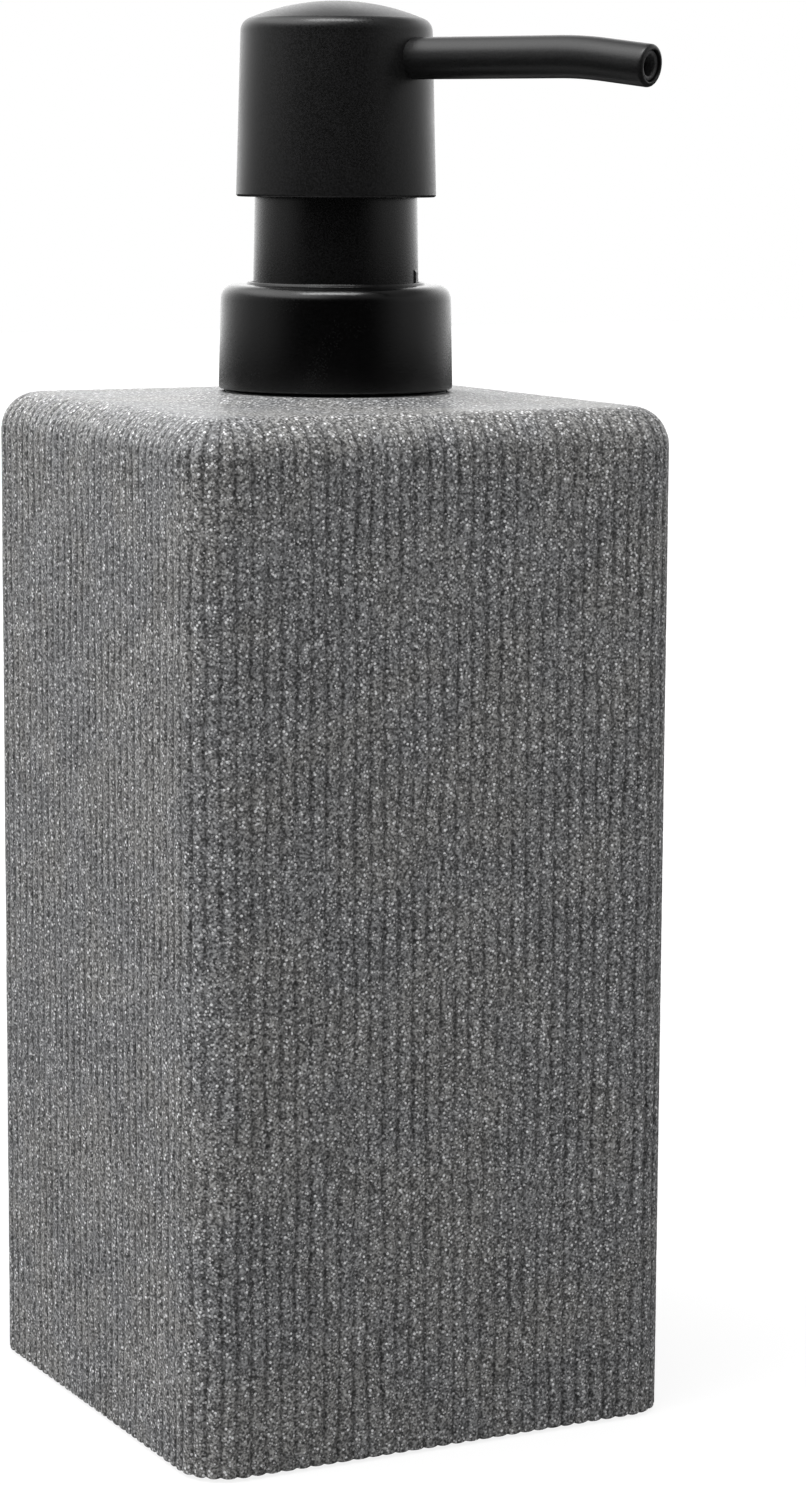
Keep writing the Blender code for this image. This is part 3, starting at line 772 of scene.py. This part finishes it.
def make_world():
    """White to the camera. To the object it is a bright ring that is dark on the
    viewer's side, under a sky that brightens towards the key."""
    world = bpy.data.worlds.new("studio")
    bpy.context.scene.world = world
    world.use_nodes = True
    world.node_tree.nodes.clear()
    tree = Tree(world.node_tree)

    way = tree.node("ShaderNodeTexCoord").outputs["Generated"]
    level = tree.vector("MULTIPLY", way, (1.0, 1.0, 0.0))
    to_viewer = (-math.sin(CAMERA_YAW), -math.cos(CAMERA_YAW), 0.0)
    front = tree.vector("DOT_PRODUCT", tree.vector("NORMALIZE", level), to_viewer, "Value")
    ring = tree.node("ShaderNodeValToRGB")
    stops = ring.color_ramp.elements
    while len(stops) < len(HORIZON):
        stops.new(0.5)
    for stop, (cosine, grey) in zip(stops, HORIZON):
        stop.position = (cosine + 1) / 2
        stop.color = (grey, grey, grey, 1.0)
    tree.put(ring.inputs["Fac"], tree.span(front, -1.0, 1.0, smooth=False))

    key = tuple(Vector(SKY_WAY).normalized())
    toward_key = tree.vector("DOT_PRODUCT", way, key, "Value")
    upper = tree.span(toward_key, SKY_EDGE, 1.0, SKY_LOW, SKY_HIGH)
    height = tree.vector("DOT_PRODUCT", way, (0.0, 0.0, 1.0), "Value")
    rise = tree.span(height, SKY_START, SKY_FULL)
    sky = tree.mix(rise, ring.outputs["Color"], upper)

    seen = tree.node("ShaderNodeLightPath").outputs["Is Camera Ray"]
    background = tree.node("ShaderNodeBackground")
    tree.put(background.inputs["Color"], tree.mix(seen, sky, (1.0, 1.0, 1.0)))
    out = tree.node("ShaderNodeOutputWorld")
    tree.put(out.inputs["Surface"], background.outputs[0])


def make_soft_box():
    """The light overhead. Its long side runs across the view."""
    data = bpy.data.lights.new("overhead_box", "AREA")
    data.shape = "RECTANGLE"
    data.size, data.size_y = BOX_SIZE
    data.energy = BOX_RADIANCE * math.pi * BOX_SIZE[0] * BOX_SIZE[1]
    box = bpy.data.objects.new("overhead_box", data)
    target = Vector((0.0, 0.0, 0.15))
    back = BOX_WAY.normalized()
    long_side = Vector((math.cos(CAMERA_YAW), -math.sin(CAMERA_YAW), 0.0))
    long_side = (long_side - back * long_side.dot(back)).normalized()
    short_side = back.cross(long_side)
    turn = Matrix((long_side, short_side, back)).transposed().to_4x4()
    box.matrix_world = Matrix.Translation(target + back) @ turn
    box.visible_camera = False
    bpy.context.scene.collection.objects.link(box)


def make_camera():
    """Yaw turns it from +Y towards +X, pitch turns it down, and roll lifts its
    right side."""
    forward = Vector(
        (
            math.sin(CAMERA_YAW) * math.cos(CAMERA_PITCH),
            math.cos(CAMERA_YAW) * math.cos(CAMERA_PITCH),
            -math.sin(CAMERA_PITCH),
        )
    )
    right = Vector((math.cos(CAMERA_YAW), -math.sin(CAMERA_YAW), 0.0))
    up = right.cross(forward)
    tilted = right * math.cos(CAMERA_ROLL) + up * math.sin(CAMERA_ROLL)
    upright = up * math.cos(CAMERA_ROLL) - right * math.sin(CAMERA_ROLL)
    data = bpy.data.cameras.new("camera")
    data.lens = CAMERA_LENS
    data.sensor_fit = "VERTICAL"
    data.sensor_height = SENSOR_HEIGHT
    data.clip_start = 0.01
    data.clip_end = 20.0
    camera = bpy.data.objects.new("camera", data)
    turn = Matrix((tilted, upright, -forward)).transposed().to_4x4()
    camera.matrix_world = Matrix.Translation(CAMERA_PLACE) @ turn
    bpy.context.scene.collection.objects.link(camera)
    bpy.context.scene.camera = camera


def main():
    resin = resin_paint("speckled_grey_resin", shade_grooves=True)
    plate_resin = resin_paint("base_resin")
    head_black = black_paint("head_satin_black", 0.34, 0.011)
    liner_black = black_paint("liner_black", 0.3, 0.055)
    # The sleeve's black is the collar's black made lighter: painted light against the
    # shade the head casts on it
    sleeve_black_painted_light = black_paint("sleeve_black_with_painted_light", 0.27, 0.006)
    black = black_paint("satin_black", 0.24, 0.0015, 0.48)
    inner_black = black_paint("inner_black", 0.5, 0.015)
    natural = pale_paint("natural_polypropylene", (0.78, 0.79, 0.77), 0.42)
    clear = pale_paint("natural_polyethylene", (0.80, 0.81, 0.79), 0.36)
    steel = steel_paint()
    foam = foam_paint("black_foam", (0.03, 0.03, 0.03))
    gasket = foam_paint("white_foam", (0.8, 0.8, 0.78), 2600.0)

    stand_for(make_bottle(), "bottle_body", "bottle", resin)
    stand_for(make_closure_shell(), "closure_shell", "closure", black)
    stand_for(make_guide_sleeve(), "guide_sleeve", "pump_unit", sleeve_black_painted_light)
    stand_for(make_head_shell(), "head_shell", "head", head_black)
    stand_for(make_spout_tube(), "spout_tube", "head", head_black)
    stand_for(make_spout_liner(), "spout_liner", "head", liner_black)
    spring = stand_for(make_spring(), "return_spring", "pump_unit", steel)
    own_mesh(spring)

    paints = {
        "base_plate": plate_resin,
        "base_pad": foam,
        "neck_insert": inner_black,
        "neck_gasket": gasket,
        "pump_housing": natural,
        "valve_cage": natural,
        "dip_tube": clear,
        "screw_closure": inner_black,
        "inlet_ball": steel,
        "stem": natural,
        "plunger": natural,
        "piston": clear,
        "head_core": natural,
    }
    for node, material in paints.items():
        dress(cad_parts[node], material)

    make_floor()
    make_world()
    make_soft_box()
    make_camera()
    bpy.context.scene.view_settings.view_transform = "Standard"


main()
